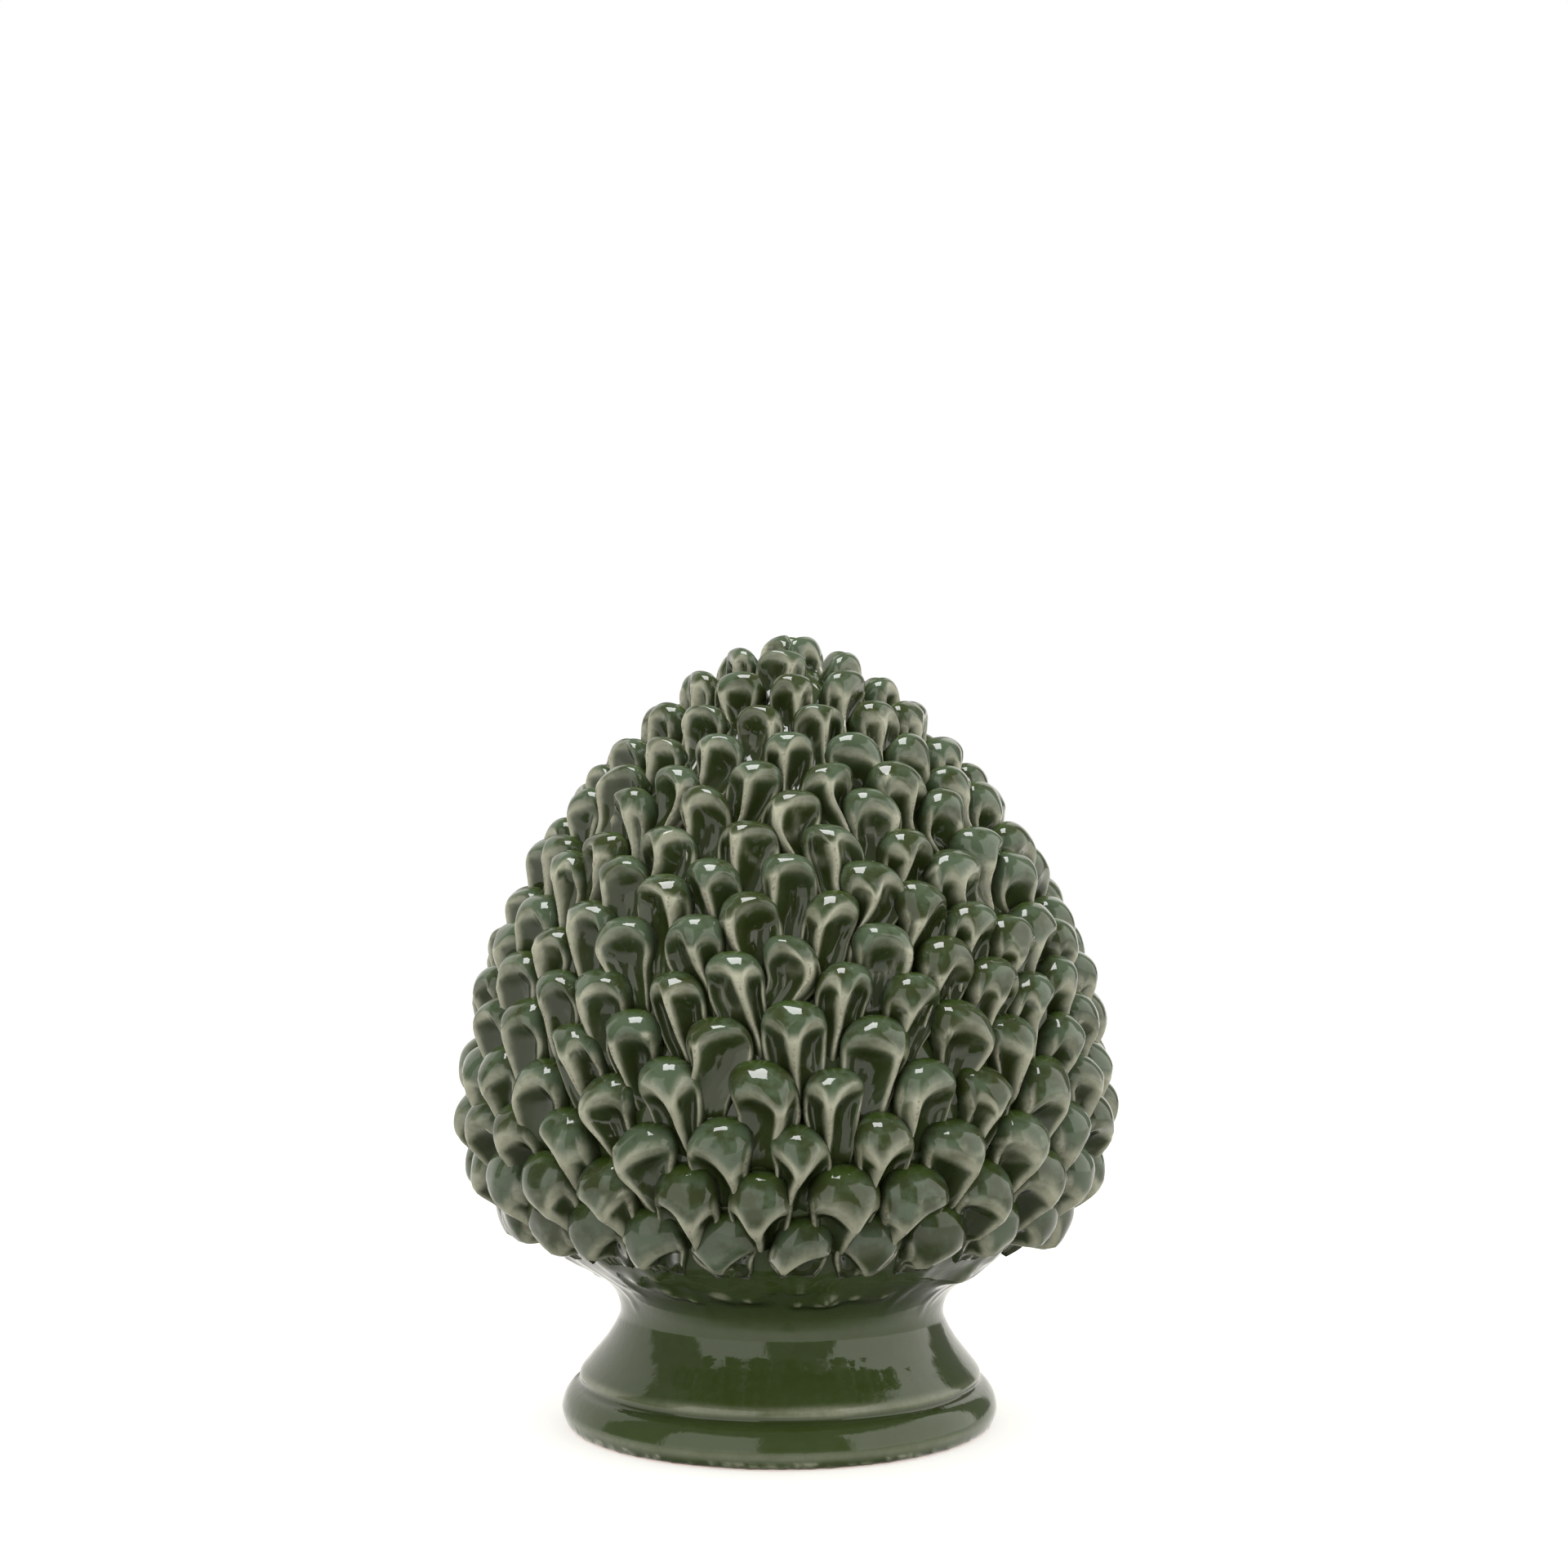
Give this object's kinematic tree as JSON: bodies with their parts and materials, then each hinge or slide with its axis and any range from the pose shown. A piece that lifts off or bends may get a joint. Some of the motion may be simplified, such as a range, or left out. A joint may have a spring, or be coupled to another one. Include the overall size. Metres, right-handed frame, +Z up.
{
  "type": "pinecone finial",
  "caption": "Glazed pottery pinecone on a waisted round foot, covered in hand-pressed scales, hollow and open underneath, standing by its own weight.",
  "frame": {"origin": "middle of the object's outline on the table it stands on", "axes": "+Z up along the cone's axis, -Y towards the side shown in the picture"},
  "size_m": [0.2513, 0.251, 0.2996],
  "materials": {
    "green_glaze": "glossy lead-green glaze over fired clay, thin and grey-beige on the ridges, dark where it pools"
  },
  "bodies": {
    "root": {"pinecone_finial": "green_glaze"}
  },
  "joints": []
}
